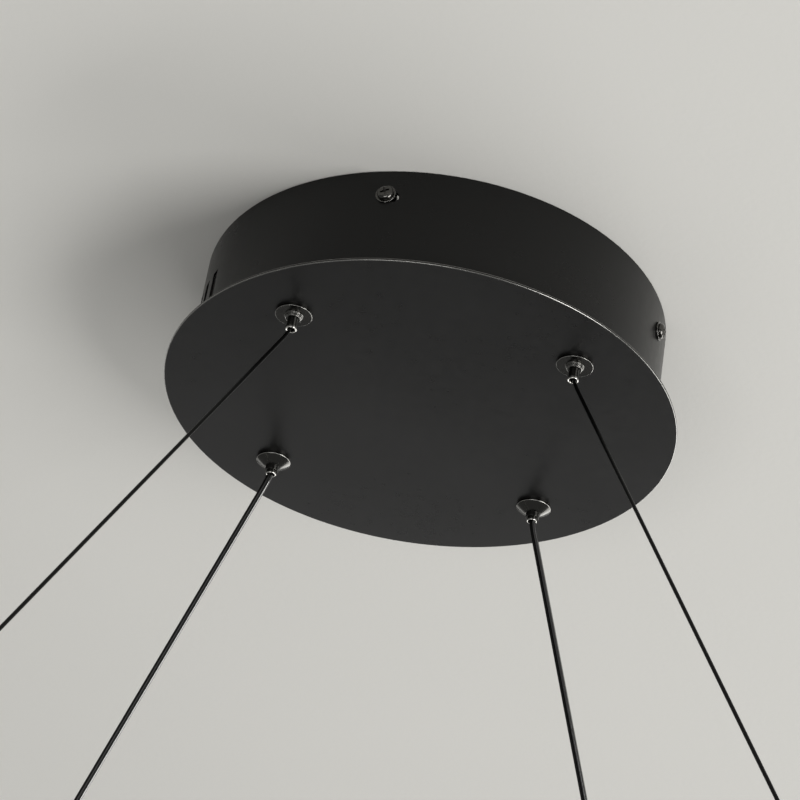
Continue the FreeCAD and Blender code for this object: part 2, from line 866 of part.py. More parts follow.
def wire_anchors():
    """Four anchors: a foot on the channel and two cheeks, notched from outside for the barrel."""
    body = new_body("wire_anchors")
    inner, outer = "anchor_ring - anchor_half", "anchor_ring + anchor_half"
    ledge = "ring_top + anchor_base"
    foot = rectangle(
        sketch_on(body, "XY_Plane", "ring_top"),
        inner, outer, "-anchor_foot_half", "anchor_foot_half",
    )
    features = [pad(body, foot, "anchor_base")]
    for plane_level, downwards in (("anchor_gap", False), ("-anchor_gap", True)):
        cheek = polygon(sketch_on(body, "XZ_Plane", plane_level), [
            (inner, ledge),
            (outer, ledge),
            (outer, "barrel_level - barrel_notch"),
            ("anchor_ring - barrel_notch", "barrel_level - barrel_notch"),
            ("anchor_ring - barrel_notch", "barrel_level + barrel_notch"),
            (outer, "barrel_level + barrel_notch"),
            (outer, "ring_top + anchor_tall"),
            (inner, "ring_top + anchor_tall"),
        ])
        features.append(pad(body, cheek, "anchor_cheek", downwards=downwards))
    repeat(body, features, "4")
    turned(body, FITTINGS[3][1])


def wire_barrels():
    """Barrel ends of the four wires, lying across in their anchors' notches."""
    half = number("anchor_gap + anchor_cheek")
    paths = []
    for _, azimuth, _ in FITTINGS:
        place = (number("anchor_ring"), number("barrel_level"))
        paths.append([at_azimuth(azimuth, place[0], aside, place[1]) for aside in (-half, half)])
    strands("wire_barrels", paths, number("barrel_radius"))


def lead_grommets():
    """Two square grommets in the channel's top, where the power leads enter it."""
    body = new_body("lead_grommets")
    foot = grommet_outline(sketch_on(body, "XY_Plane", "ring_top"), "gland_half")
    flange = grommet_outline(sketch_on(body, "XY_Plane", "ring_top"), "gland_flange")
    features = [pad(body, foot, "gland_reach", downwards=True), pad(body, flange, "gland_edge")]
    repeat(body, features, "2", str(QUARTER_TURN))
    turned(body, FITTINGS[3][1])


# ---- assembly ----


def build_all():
    """Makes every sub-part."""
    ceiling_bracket()
    side_screws()
    canopy_drum()
    canopy_plate()
    gripper_bodies("wire_gripper_bodies", f"{NUT_FOOT} - step_tall", FITTINGS[0][1])
    gripper_bodies("lead_gripper_bodies", "-canopy_tall - cone_tall - collar_tall", FITTINGS[3][1])
    gripper_caps()
    flange_nuts()
    lead_cones()
    for index, azimuth, passes_lead in FITTINGS:
        plunger(index, azimuth, passes_lead)
        plunger_spring(index, azimuth)
        suspension_wire(index, azimuth, passes_lead)
        if passes_lead:
            inner_lead(index, azimuth, math.copysign(1, QUARTER_TURN - azimuth))
            power_lead(index, azimuth)
    wire_tails()
    driver_cradle()
    led_driver()
    terminal_block("mains_terminal", "-", "mains_half")
    terminal_block("output_terminal", "", "output_half")
    cores("mains_cores", -1)
    cores("output_cores", 1)
    for side, azimuth, leads_enter in (("near", HALF_TURN, False), ("far", 0, True)):
        ring_channel(f"ring_channel_{side}", azimuth, leads_enter)
        diffuser(f"diffuser_{side}", azimuth)
    ring_joiners()
    led_boards()
    wire_anchors()
    wire_barrels()
    lead_grommets()


def check_all():
    """Stops where any object failed or any sub-part's shape is unusable."""
    for item in doc.Objects:
        if {"Invalid", "Error"} & set(item.State):
            raise ValueError(f"{item.Label} failed: {item.State}")
    for label, item in parts.items():
        if item.Shape.isNull() or not item.Shape.isValid() or not item.Shape.Solids:
            raise ValueError(f"{label} has no valid solid")


def write_all():
    """Writes one file for each sub-part."""
    os.makedirs("parts", exist_ok=True)
    for label, item in parts.items():
        item.Shape.exportStep(os.path.join("parts", f"{label}.step"))
        print(f"{label}: {len(item.Shape.Solids)} solid(s), {item.Shape.Volume / 1000:.2f} cm3")


fill_sheet()
build_all()
doc.recompute()
check_all()
write_all()
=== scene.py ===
"""Looks of the ceiling pendant: its canopy, cable grips, wires and ring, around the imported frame."""

import json
import logging
import math
from collections.abc import Sequence
from dataclasses import dataclass
from enum import Enum
from itertools import pairwise

import bmesh
import bpy
from mathutils import Matrix, Vector

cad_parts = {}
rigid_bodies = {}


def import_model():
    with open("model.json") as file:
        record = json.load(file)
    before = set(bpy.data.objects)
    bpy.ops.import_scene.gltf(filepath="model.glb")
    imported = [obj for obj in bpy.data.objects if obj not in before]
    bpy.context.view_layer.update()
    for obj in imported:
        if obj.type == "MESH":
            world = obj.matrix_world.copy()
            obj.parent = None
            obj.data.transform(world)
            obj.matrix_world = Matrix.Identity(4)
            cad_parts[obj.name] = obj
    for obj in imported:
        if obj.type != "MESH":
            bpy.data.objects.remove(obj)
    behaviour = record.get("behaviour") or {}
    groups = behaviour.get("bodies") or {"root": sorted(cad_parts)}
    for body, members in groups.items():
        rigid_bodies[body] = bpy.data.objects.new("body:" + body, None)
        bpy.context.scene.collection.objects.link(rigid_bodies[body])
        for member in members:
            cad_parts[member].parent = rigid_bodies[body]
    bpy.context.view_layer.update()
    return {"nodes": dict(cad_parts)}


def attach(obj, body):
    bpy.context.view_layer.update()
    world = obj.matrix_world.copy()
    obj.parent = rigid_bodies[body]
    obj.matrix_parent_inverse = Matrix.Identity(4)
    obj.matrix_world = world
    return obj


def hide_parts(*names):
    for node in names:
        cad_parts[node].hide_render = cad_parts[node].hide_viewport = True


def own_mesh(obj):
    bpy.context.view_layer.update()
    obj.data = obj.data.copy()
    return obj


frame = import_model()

LOG = logging.getLogger("ring pendant")
MM = 0.001
SHARP_ANGLE = math.radians(35)
CABLE_END_ANGLE = math.radians(50)
CABLE_ROUNDNESS = 5
CABLE_STEPS = 16
WELD_DISTANCE = 0.000002
Triple = tuple[float, float, float]
Colour = Triple
Point = tuple[float, float]
Outline = Sequence[Point]


# ---- places ----


@dataclass(frozen=True)
class Fitting:
    """One of the four cable fittings on the plate."""

    number: int
    azimuth: float
    passes_lead: bool

    def place(self, level: float, outward: float | None = None, aside: float = 0.0) -> Vector:
        """A point at this fitting's azimuth.

        Args:
            level: Height of the point, in mm.
            outward: Distance from the middle of the canopy, in mm; the fitting's own if None.
            aside: Distance clockwise, seen from above, in mm.

        Returns:
            The point, in mm.
        """
        return around(self.azimuth, FITTING_RADIUS if outward is None else outward, aside, level)


# Sizes that more than one class uses, in mm. A wire and the lead beside it touch, so that half the
# distance between their middles is their radius.
HALF_SQUARE = 73
FITTING_RADIUS = HALF_SQUARE * math.sqrt(2)
FITTINGS = (
    Fitting(1, -135, False),
    Fitting(2, -45, False),
    Fitting(3, 135, True),
    Fitting(4, 45, True),
)
PLATE_FOOT = -65.0
STRAND_RADIUS = 0.97
PAIR_HALF = STRAND_RADIUS
HIDDEN_RADIUS = 0.95
ANCHOR_RADIUS = 492.0
BARREL_LEVEL = -775.0
LEAD_ASIDE = 20.0


def around(azimuth: float, outward: float, aside: float, level: float) -> Vector:
    """A point given by its azimuth.

    Args:
        azimuth: Turn about the vertical, in degrees.
        outward: Distance from the middle, in mm.
        aside: Distance clockwise, seen from above, in mm.
        level: Height, in mm.

    Returns:
        The point, in mm.
    """
    turned = Matrix.Rotation(math.radians(azimuth), 3, "Z") @ Vector((outward, -aside, 0))
    return Vector((turned.x, turned.y, level))


def standing(point: Vector, turn: float = 0.0) -> Matrix:
    """A place whose Z axis is upright.

    Args:
        point: Where it is, in mm.
        turn: Turn about the vertical, in degrees.

    Returns:
        The place as a matrix, in mm.
    """
    return Matrix.Translation(point) @ Matrix.Rotation(math.radians(turn), 4, "Z")


def facing_out(azimuth: float, outward: float, aside: float, level: float) -> Matrix:
    """A place whose Z axis points away from the middle of the canopy.

    Args:
        azimuth: Turn about the vertical, in degrees.
        outward: Distance from the middle, in mm.
        aside: Distance clockwise, seen from above, in mm.
        level: Height, in mm.

    Returns:
        The place as a matrix, in mm.
    """
    tilt = Matrix.Rotation(math.radians(90), 4, "Y")
    return standing(around(azimuth, outward, aside, level), azimuth) @ tilt


# ---- shader maths ----


class Value:
    """A socket of a shader, which can be used in sums."""

    def __init__(self, shader: "Shader", socket: bpy.types.NodeSocket) -> None:
        """Wraps a socket.

        Args:
            shader: The shader that the socket belongs to.
            socket: The output socket.
        """
        self.shader = shader
        self.socket = socket

    def _sum(self, operation: str, first: object, second: object) -> "Value":
        """Joins two terms with a maths node that suits them.

        Args:
            operation: ADD, SUBTRACT or MULTIPLY.
            first: A value or a plain number or colour.
            second: A value or a plain number or colour.

        Returns:
            The result.
        """
        kinds = {term.socket.type for term in (first, second) if isinstance(term, Value)}
        if "RGBA" in kinds:
            settings = {"data_type": "RGBA", "blend_type": operation}
            inputs = {"Factor": 1.0, "A": as_colour(first), "B": as_colour(second)}
            return self.shader.node("ShaderNodeMix", settings, inputs, "Result")
        kind = "ShaderNodeVectorMath" if "VECTOR" in kinds else "ShaderNodeMath"
        return self.shader.node(kind, {"operation": operation}, {0: first, 1: second})

    def __add__(self, other: object) -> "Value":
        """This plus a term."""
        return self._sum("ADD", self, other)

    def __radd__(self, other: object) -> "Value":
        """A term plus this."""
        return self._sum("ADD", other, self)

    def __sub__(self, other: object) -> "Value":
        """This less a term."""
        return self._sum("SUBTRACT", self, other)

    def __rsub__(self, other: object) -> "Value":
        """A term less this."""
        return self._sum("SUBTRACT", other, self)

    def __mul__(self, other: object) -> "Value":
        """This times a term."""
        return self._sum("MULTIPLY", self, other)

    def __rmul__(self, other: object) -> "Value":
        """A term times this."""
        return self._sum("MULTIPLY", other, self)


def as_colour(term: object) -> object:
    """A term as a colour socket can take it.

    Args:
        term: A value, a number or a colour of three numbers.

    Returns:
        The value itself, or four numbers.
    """
    if isinstance(term, Value):
        return term
    return (*term, 1.0) if isinstance(term, tuple) else (term, term, term, 1.0)


class Shader:
    """A material's or world's node tree."""

    def __init__(self, owner: bpy.types.ID) -> None:
        """Starts an empty tree.

        Args:
            owner: The material or world.
        """
        owner.use_nodes = True
        self.tree = owner.node_tree
        self.tree.nodes.clear()

    def node(
        self,
        kind: str,
        settings: dict[str, object] | None = None,
        inputs: dict[object, object] | None = None,
        output: object = 0,
    ) -> Value:
        """Adds any node.

        Args:
            kind: The node's type.
            settings: The node's own settings.
            inputs: What goes into its sockets, by name or number.
            output: The output to return, by name or number.

        Returns:
            The chosen output.
        """
        made = self.tree.nodes.new(kind)
        for name, setting in (settings or {}).items():
            setattr(made, name, setting)
        for name, term in (inputs or {}).items():
            socket = self._socket(made.inputs, name)
            if isinstance(term, Value):
                self.tree.links.new(term.socket, socket)
            else:
                socket.default_value = term
        return Value(self, self._socket(made.outputs, output)) if made.outputs else None

    def _socket(self, sockets: object, name: object) -> bpy.types.NodeSocket:
        """Finds a socket.

        Args:
            sockets: A node's inputs or outputs.
            name: Its number, or its name among the enabled ones.

        Returns:
            The socket.
        """
        if isinstance(name, int):
            return sockets[name]
        return next(socket for socket in sockets if socket.name == name and socket.enabled)

    def grey(self, value: Value) -> Value:
        """That value in every channel of a colour."""
        return self.node("ShaderNodeCombineColor", inputs={channel: value for channel in range(3)})

    def position(self, stretch: Triple = (1, 1, 1)) -> Value:
        """Where a point is on its own piece, in metres, stretched by a factor along each axis."""
        return self.node("ShaderNodeTexCoord", output="Object") * stretch

    def noise(self, scale: float, detail: float = 3, stretch: Triple = (1, 1, 1)) -> Value:
        """Cloudy noise about zero, of that many waves to the metre."""
        inputs = {"Vector": self.position(stretch), "Scale": scale, "Detail": detail}
        return self.node("ShaderNodeTexNoise", inputs=inputs) - 0.5


# ---- finishes ----


class Grain(Enum):
    """The small relief of a surface."""

    SPRAYED = "orange peel of sprayed paint"
    TURNED = "rings left by a lathe"
    ROLLED = "long marks of rolled strip"
    MOULDED = "fine sparkle of a mould"
    DRAWN = "marks along a drawn wire"


@dataclass(frozen=True)
class Finish:
    """How a surface looks.

    Waves are counted to the metre, and the relief is in metres.
    """

    name: str
    slot: str
    colour: Colour
    roughness: float
    grain: Grain
    metallic: float = 0.0
    coat: float = 0.0
    mottle: float = 0.15
    haze: float = 0.1
    waves: float = 900.0
    relief: float = 0.00002
    specular: float = 0.5
    coat_roughness: float = 0.07
    coat_ior: float = 1.9
    cloud_waves: float = 11.0
    speck_waves: float = 170.0

    def relief_of(self, shader: Shader) -> Value:
        """The height that makes this grain.

        Args:
            shader: The shader that uses it.

        Returns:
            A height from about -0.5 to 0.5.
        """
        if self.grain is Grain.TURNED:
            settings = {"wave_type": "RINGS", "rings_direction": "Z"}
            inputs = {"Vector": shader.position(), "Scale": self.waves, "Distortion": 0.6}
            return shader.node("ShaderNodeTexWave", settings, inputs, 1) - 0.5
        if self.grain is Grain.ROLLED:
            return shader.noise(self.waves, 4, (0.08, 1, 1))
        if self.grain is Grain.DRAWN:
            return shader.noise(self.waves, 3, (1, 1, 0.2))
        return shader.noise(self.waves, 2 if self.grain is Grain.SPRAYED else 5)

    def material(self) -> bpy.types.Material:
        """The material with this finish, made once.

        Returns:
            The material.
        """
        made = bpy.data.materials.get(self.name)
        if made:
            return made
        made = bpy.data.materials.new(self.name)
        shader = Shader(made)
        clouds = shader.noise(self.cloud_waves, 4)
        specks = shader.noise(self.speck_waves, 3)
        tone = shader.grey(clouds * self.mottle + 1.0)
        rough = clouds * self.haze + specks * self.haze + self.roughness
        bump = {"Height": self.relief_of(shader), "Distance": self.relief, "Strength": 1.0}
        inputs = {
            "Base Color": tone * self.colour,
            "Roughness": rough,
            "Metallic": self.metallic,
            "Specular IOR Level": self.specular,
            "Coat Weight": self.coat,
            "Coat Roughness": self.coat_roughness,
            "Coat IOR": self.coat_ior,
            "Normal": shader.node("ShaderNodeBump", inputs=bump),
        }
        surface = shader.node("ShaderNodeBsdfPrincipled", inputs=inputs)
        shader.node("ShaderNodeOutputMaterial", inputs={"Surface": surface})
        made.diffuse_color = (*self.colour, 1.0)
        return made


BLACK_PAINT = Finish(
    "black powder coat",
    "black_paint",
    (0.0045, 0.0045, 0.0044),
    0.3,
    Grain.SPRAYED,
    relief=0.000008,
    specular=0.22,
)
# Pale metal for the plate's rounded rim: a painted highlight line along the edge.
EDGE_HIGHLIGHT_PAINT = Finish(
    "black paint, painted edge highlight",
    "black_paint",
    (0.3, 0.297, 0.288),
    0.22,
    Grain.SPRAYED,
    metallic=1.0,
    haze=0.0,
    relief=0.0,
)
BLACK_NICKEL = Finish(
    "black nickel",
    "gripper_metal",
    (0.07, 0.069, 0.065),
    0.18,
    Grain.TURNED,
    metallic=1.0,
    waves=1500,
    relief=0.000001,
)
# Pale nickel. On the fittings' and anchors' rounded edges it is a painted highlight, a bright line where the
# edges catch the light; the barrels are made of it whole.
PALE_NICKEL_EDGE_HIGHLIGHT = Finish(
    "pale nickel, painted edge highlight",
    "gripper_metal",
    (0.35, 0.345, 0.33),
    0.3,
    Grain.TURNED,
    metallic=1.0,
    waves=1500,
    haze=0.0,
    relief=0.0,
)
BRIGHT_NICKEL = Finish(
    "bright nickel",
    "plunger_metal",
    (0.7, 0.69, 0.66),
    0.2,
    Grain.TURNED,
    metallic=1.0,
    waves=1500,
    relief=0.000004,
)
ZINC = Finish(
    "zinc plating",
    "bracket_steel",
    (0.72, 0.72, 0.71),
    0.14,
    Grain.ROLLED,
    metallic=1.0,
    mottle=0.2,
    haze=0.08,
)
SCREW_STEEL = Finish(
    "darkened steel",
    "screw_steel",
    (0.09, 0.088, 0.084),
    0.14,
    Grain.TURNED,
    metallic=1.0,
    waves=1500,
    relief=0.000004,
)
# Pale steel for the washers' rounded rims: a painted highlight line.
STEEL_EDGE_HIGHLIGHT = Finish(
    "steel, painted edge highlight",
    "screw_steel",
    (0.25, 0.247, 0.238),
    0.24,
    Grain.TURNED,
    metallic=1.0,
    haze=0.0,
    relief=0.0,
)
SPRING_STEEL = Finish("spring steel", "spring_steel", (0.5, 0.5, 0.51), 0.28, Grain.DRAWN, metallic=1.0)
WIRE_COAT = Finish(
    "coated wire",
    "wire_coat",
    (0.0015, 0.0015, 0.0015),
    0.3,
    Grain.DRAWN,
    waves=2500,
    specular=0.14,
)
LEAD_COAT = Finish(
    "glossy sheath",
    "lead_coat",
    (0.002, 0.002, 0.002),
    0.1,
    Grain.MOULDED,
    coat=1.0,
    haze=0.03,
    relief=0.000001,
)
CORE_SHEATH = Finish(
    "brown insulation",
    "core_sheath",
    (0.12, 0.055, 0.03),
    0.35,
    Grain.MOULDED,
    relief=0.000006,
)
DRIVER_CASE = Finish("white moulding", "driver_case", (0.72, 0.71, 0.68), 0.45, Grain.MOULDED)
TERMINAL = Finish("pale polyamide", "terminal_block", (0.68, 0.67, 0.62), 0.38, Grain.MOULDED)
OPAL = Finish(
    "opal acrylic",
    "opal_cover",
    (0.86, 0.86, 0.84),
    0.38,
    Grain.MOULDED,
    mottle=0.03,
    relief=0.000008,
)
BOARD = Finish(
    "white solder mask",
    "board",
    (0.8, 0.8, 0.78),
    0.3,
    Grain.MOULDED,
    mottle=0.05,
    relief=0.000006,
)
GROMMET = Finish("black rubber", "grommet", (0.02, 0.02, 0.02), 0.55, Grain.MOULDED)


# ---- making pieces ----


class Shape:
    """A mesh in the making, in millimetres."""

    def __init__(self) -> None:
        """Starts an empty mesh."""
        self.mesh = bmesh.new()

    def _band(self, low: list[bmesh.types.BMVert], high: list[bmesh.types.BMVert]) -> None:
        """Joins two rings of points with faces.

        Args:
            low: The first ring, or a single point.
            high: The other ring, or a single point.
        """
        count = max(len(low), len(high))
        for k in range(count):
            after = k + 1
            corners = [low[k % len(low)], low[after % len(low)], high[after % len(high)], high[k % len(high)]]
            distinct = list(dict.fromkeys(corners))
            if len(distinct) > 2:
                self.mesh.faces.new(distinct)

    def lathe(
        self, profile: Outline, place: Matrix = Matrix(), hollow: bool = False, steps: int = 64
    ) -> "Shape":
        """Adds a turned solid.

        Args:
            profile: Radius and height of each point of its outline.
            place: Where it stands.
            hollow: Whether the outline closes on itself round a bore.
            steps: Faces round the axis.

        Returns:
            This shape.
        """
        rings = []
        for radius, height in profile:
            count = steps if radius > 0 else 1
            turns = [2 * math.pi * k / steps for k in range(count)]
            points = [Vector((radius * math.cos(a), radius * math.sin(a), height)) for a in turns]
            rings.append([self.mesh.verts.new(place @ point) for point in points])
        for low, high in pairwise([*rings, rings[0]] if hollow else rings):
            self._band(low, high)
        return self

    def loft(self, outlines: list[tuple[Outline, float]], place: Matrix = Matrix()) -> "Shape":
        """Adds a solid between level outlines that have equally many corners.

        Args:
            outlines: Each outline's corners and its height.
            place: Where it stands.

        Returns:
            This shape.
        """
        rings = []
        for corners, height in outlines:
            rings.append([self.mesh.verts.new(place @ Vector((x, y, height))) for x, y in corners])
        for low, high in pairwise(rings):
            self._band(low, high)
        self.mesh.faces.new(rings[0])
        self.mesh.faces.new(rings[-1])
        return self

    def block(self, half: Point, low: float, high: float, place: Matrix = Matrix()) -> "Shape":
        """Adds a box.

        Args:
            half: Half its size along X and Y.
            low: Height of its foot.
            high: Height of its top.
            place: Where it stands.

        Returns:
            This shape.
        """
        corners = oblong(*half)
        return self.loft([(corners, low), (corners, high)], place)

    def carve(self, cutter: "Shape") -> "Shape":
        """Takes another shape's volume away.

        Args:
            cutter: What to take away; it is used up.

        Returns:
            This shape.
        """
        solid, tool = self.loose("solid"), cutter.loose("tool")
        change = solid.modifiers.new("carve", "BOOLEAN")
        change.object = tool
        change.solver = "EXACT"
        result = bpy.data.meshes.new_from_object(solid.evaluated_get(bpy.context.evaluated_depsgraph_get()))
        self.mesh = bmesh.new()
        self.mesh.from_mesh(result)
        bpy.data.meshes.remove(result)
        for used in (solid, tool):
            bpy.data.objects.remove(used)
        return self

    def add(self, other: "Shape", place: Matrix) -> "Shape":
        """Adds another shape's faces.

        Args:
            other: The shape; it is used up.
            place: Where it stands.

        Returns:
            This shape.
        """
        other.mesh.transform(place)
        data = bpy.data.meshes.new("added")
        other.mesh.to_mesh(data)
        other.mesh.free()
        self.mesh.from_mesh(data)
        bpy.data.meshes.remove(data)
        return self

    def loose(self, name: str) -> bpy.types.Object:
        """Turns the shape into an object that has no finish yet.

        Args:
            name: The object's name.

        Returns:
            The object.
        """
        bmesh.ops.recalc_face_normals(self.mesh, faces=self.mesh.faces)
        data = bpy.data.meshes.new(name)
        self.mesh.to_mesh(data)
        self.mesh.free()
        made = bpy.data.objects.new(name, data)
        bpy.context.scene.collection.objects.link(made)
        bpy.context.view_layer.update()
        return made

    def piece(
        self,
        name: str,
        finish: Finish,
        body: str,
        place: Matrix = Matrix(),
        edge: float = 0.15,
        replaces: tuple[str, ...] = (),
        edge_highlight: Finish | None = None,
    ) -> bpy.types.Object:
        """Turns the shape into a piece of the object.

        Args:
            name: The piece's name.
            finish: Its finish.
            body: The body that it moves with.
            place: Where its own origin stands, in mm.
            edge: Width of its rounded edges, in mm; none if 0.
            replaces: CAD nodes that it stands for.
            edge_highlight: Another finish for the rounded edges, a pale one that paints a highlight line
                along them.

        Returns:
            The piece.
        """
        made = self.loose(name)
        made.data.transform(Matrix.Scale(MM, 4))
        spot = place.copy()
        spot.translation = place.translation * MM
        made.matrix_world = spot
        made.data.materials.append(finish.material())
        made.data.shade_smooth()
        if edge:
            rounding = round_edges(made, edge)
            if edge_highlight:
                made.data.materials.append(edge_highlight.material())
                rounding.material = 1
        else:
            made.data.set_sharp_from_angle(angle=SHARP_ANGLE)
        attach(made, body)
        if replaces:
            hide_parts(*replaces)
        return made


def oblong(half_x: float, half_y: float) -> list[Point]:
    """The corners of a rectangle about the origin."""
    return [(-half_x, -half_y), (half_x, -half_y), (half_x, half_y), (-half_x, half_y)]


def cross(arm: float, half: float) -> list[Point]:
    """The corners of a cross about the origin.

    Args:
        arm: Reach of each arm, in mm.
        half: Half the width of an arm, in mm.

    Returns:
        Its corners, counterclockwise.
    """
    corner = [(arm, -half), (arm, half), (half, half)]
    turns = [Matrix.Rotation(k * math.pi / 2, 2) for k in range(4)]
    return [tuple(turn @ Vector(point)) for turn in turns for point in corner]


def round_edges(
    piece: bpy.types.Object, width: float, steps: int = 3, weld: bool = False
) -> bpy.types.Modifier:
    """Rounds a piece's sharp edges.

    Args:
        piece: The piece.
        width: Width of the rounding, in mm.
        steps: Faces across the rounding.
        weld: Whether its faces come apart at their edges and are joined first.

    Returns:
        The rounding.
    """
    if weld:
        joined = piece.modifiers.new("weld", "WELD")
        joined.merge_threshold = WELD_DISTANCE
    rounding = piece.modifiers.new("edges", "BEVEL")
    rounding.width = width * MM
    rounding.segments = steps
    rounding.limit_method = "ANGLE"
    rounding.angle_limit = SHARP_ANGLE
    rounding.harden_normals = True
    rounding.miter_outer = "MITER_ARC"
    return rounding


def keep(node: str, finish: Finish, edge: float = 0.2, edge_highlight: Finish | None = None) -> bpy.types.Object:
    """Keeps a CAD node and gives it a finish and rounded edges.

    Args:
        node: The node's name.
        finish: Its finish.
        edge: Width of its rounded edges, in mm; none if 0.
        edge_highlight: Another finish for the rounded edges, a pale one that paints a highlight line along
            them.

    Returns:
        The node's object.
    """
    kept = frame["nodes"][node]
    if not kept.material_slots:
        kept.data.materials.append(finish.material())
    for used in kept.material_slots:
        used.material = finish.material()
    if edge:
        rounding = round_edges(kept, edge, weld=True)
        if edge_highlight:
            kept.data.materials.append(edge_highlight.material())
            rounding.material = len(kept.material_slots) - 1
    LOG.info("kept %s as %s", node, finish.name)
    return kept


def cable(name: str, routes: list[list[Vector]], radius: float, finish: Finish) -> bpy.types.Object:
    """A round cable along one smooth line for each route.

    Args:
        name: The piece's name.
        routes: The control points of each line, in mm.
        radius: Its radius, in mm.
        finish: Its finish.

    Returns:
        The cable as a mesh, which rides on nothing yet.
    """
    curve = bpy.data.curves.new(name + "_line", "CURVE")
    curve.dimensions = "3D"
    curve.bevel_depth = radius * MM
    curve.bevel_resolution = CABLE_ROUNDNESS
    curve.use_fill_caps = True
    for route in routes:
        line = curve.splines.new("NURBS")
        line.points.add(len(route) - 1)
        for point, spot in zip(line.points, route):
            point.co = (*(spot * MM), 1.0)
        line.order_u = 3
        line.use_endpoint_u = True
        line.resolution_u = CABLE_STEPS
    laid = bpy.data.objects.new(name + "_line", curve)
    mesh = bpy.data.meshes.new_from_object(laid)
    mesh.name = name
    bpy.data.objects.remove(laid)
    made = bpy.data.objects.new(name, mesh)
    bpy.context.scene.collection.objects.link(made)
    mesh.materials.clear()
    mesh.materials.append(finish.material())
    mesh.shade_smooth()
    mesh.set_sharp_from_angle(angle=CABLE_END_ANGLE)
    return made


# ---- camera, stage and light ----


@dataclass(frozen=True)
class Eye:
    """The camera, below and in front of the canopy, looking up at it."""

    spot: Triple = (-0.03233, -1.34714, -0.91983)
    yaw: float = -0.907
    pitch: float = 32.588
    roll: float = -9.748
    lens: float = 135.0

    def build(self) -> None:
        """Makes the camera and looks through it."""
        data = bpy.data.cameras.new("eye")
        data.lens = self.lens
        data.sensor_width = 36
        data.clip_end = 50
        camera = bpy.data.objects.new("eye", data)
        bpy.context.scene.collection.objects.link(camera)
        level = Matrix.Rotation(math.radians(self.yaw), 4, "Z")
        raised = Matrix.Rotation(math.radians(90 + self.pitch), 4, "X")
        rolled = Matrix.Rotation(math.radians(-self.roll), 4, "Z")
        camera.matrix_world = Matrix.Translation(self.spot) @ level @ raised @ rolled
        bpy.context.scene.camera = camera


@dataclass(frozen=True)
class Room:
    """A pale plaster ceiling, seen only from below, and pale air round it."""

    reach: float = 6.0
    plaster: Colour = (0.66, 0.655, 0.63)
    air: Colour = (0.8, 0.8, 0.785)
    gloom: float = 0.233
    gap: float = 0.0003
    plaster_waves: float = 260.0
    cloud_waves: float = 1.5
    cloud_depth: float = 0.05
    lit_radius: float = 0.112
    inside_glow: float = 0.6

    def build(self) -> None:
        """Makes the ceiling and the world."""
        data = bpy.data.meshes.new("ceiling")
        signs = ((-1, -1), (-1, 1), (1, 1), (1, -1))
        corners = [(x * self.reach, y * self.reach, self.gap) for x, y in signs]
        data.from_pydata(corners, [], [(0, 1, 2, 3)])
        ceiling = bpy.data.objects.new("ceiling", data)
        bpy.context.scene.collection.objects.link(ceiling)
        data.materials.append(self.ceiling_material())
        self.fill_world()

    def ceiling_material(self) -> bpy.types.Material:
        """Plaster from below, nothing from above, and light over the canopy's hidden inside.

        Returns:
            The material.
        """
        made = bpy.data.materials.new("ceiling_plaster")
        shader = Shader(made)
        clouds = shader.grey(shader.noise(self.cloud_waves) * self.cloud_depth + 1.0)
        bump = {"Height": shader.noise(self.plaster_waves, 5), "Distance": 0.0002, "Strength": 0.4}
        length = {"operation": "LENGTH"}
        from_middle = shader.node("ShaderNodeVectorMath", length, {0: shader.position()}, "Value")
        nearer = {"operation": "LESS_THAN"}
        inside = shader.node("ShaderNodeMath", nearer, {0: from_middle, 1: self.lit_radius})
        unseen = inside * (1.0 - shader.node("ShaderNodeLightPath", output="Is Camera Ray"))
        inputs = {
            "Base Color": clouds * self.plaster,
            "Roughness": 0.95,
            "Specular IOR Level": 0.1,
            "Normal": shader.node("ShaderNodeBump", inputs=bump),
            "Emission Color": shader.grey(unseen),
            "Emission Strength": self.inside_glow,
        }
        plaster = shader.node("ShaderNodeBsdfPrincipled", inputs=inputs)
        clear = shader.node("ShaderNodeBsdfTransparent")
        behind = shader.node("ShaderNodeNewGeometry", output="Backfacing")
        both = shader.node("ShaderNodeMixShader", inputs={0: behind, 1: plaster, 2: clear})
        shader.node("ShaderNodeOutputMaterial", inputs={"Surface": both})
        return made

    def fill_world(self) -> None:
        """Pale to the eye, dimmer as light."""
        world = bpy.data.worlds.new("air")
        bpy.context.scene.world = world
        shader = Shader(world)
        seen = shader.node("ShaderNodeLightPath", output="Is Camera Ray")
        pale = {"Color": (*self.air, 1.0), "Strength": 1.0}
        dim = {"Color": (*self.air, 1.0), "Strength": self.gloom / self.air[0]}
        inputs = {
            0: seen,
            1: shader.node("ShaderNodeBackground", inputs=dim),
            2: shader.node("ShaderNodeBackground", inputs=pale),
        }
        both = shader.node("ShaderNodeMixShader", inputs=inputs)
        shader.node("ShaderNodeOutputWorld", inputs={"Surface": both})


@dataclass(frozen=True)
class SoftLight:
    """A large soft light that looks at the canopy."""

    name: str
    azimuth: float
    drop: float
    far: float
    size: Point
    power: float
    tint: Colour = (1.0, 0.99, 0.97)

    def build(self) -> None:
        """Makes the light."""
        data = bpy.data.lights.new(self.name, "AREA")
        data.shape = "RECTANGLE"
        data.size, data.size_y = self.size
        data.energy = self.power
        data.color = self.tint
        lamp = bpy.data.objects.new(self.name, data)
        bpy.context.scene.collection.objects.link(lamp)
        drop = math.radians(self.drop)
        spot = around(self.azimuth, self.far * math.cos(drop), 0, -self.far * math.sin(drop))
        lamp.location = spot
        lamp.rotation_euler = (-spot).to_track_quat("-Z", "Y").to_euler()


# ---- the object ----


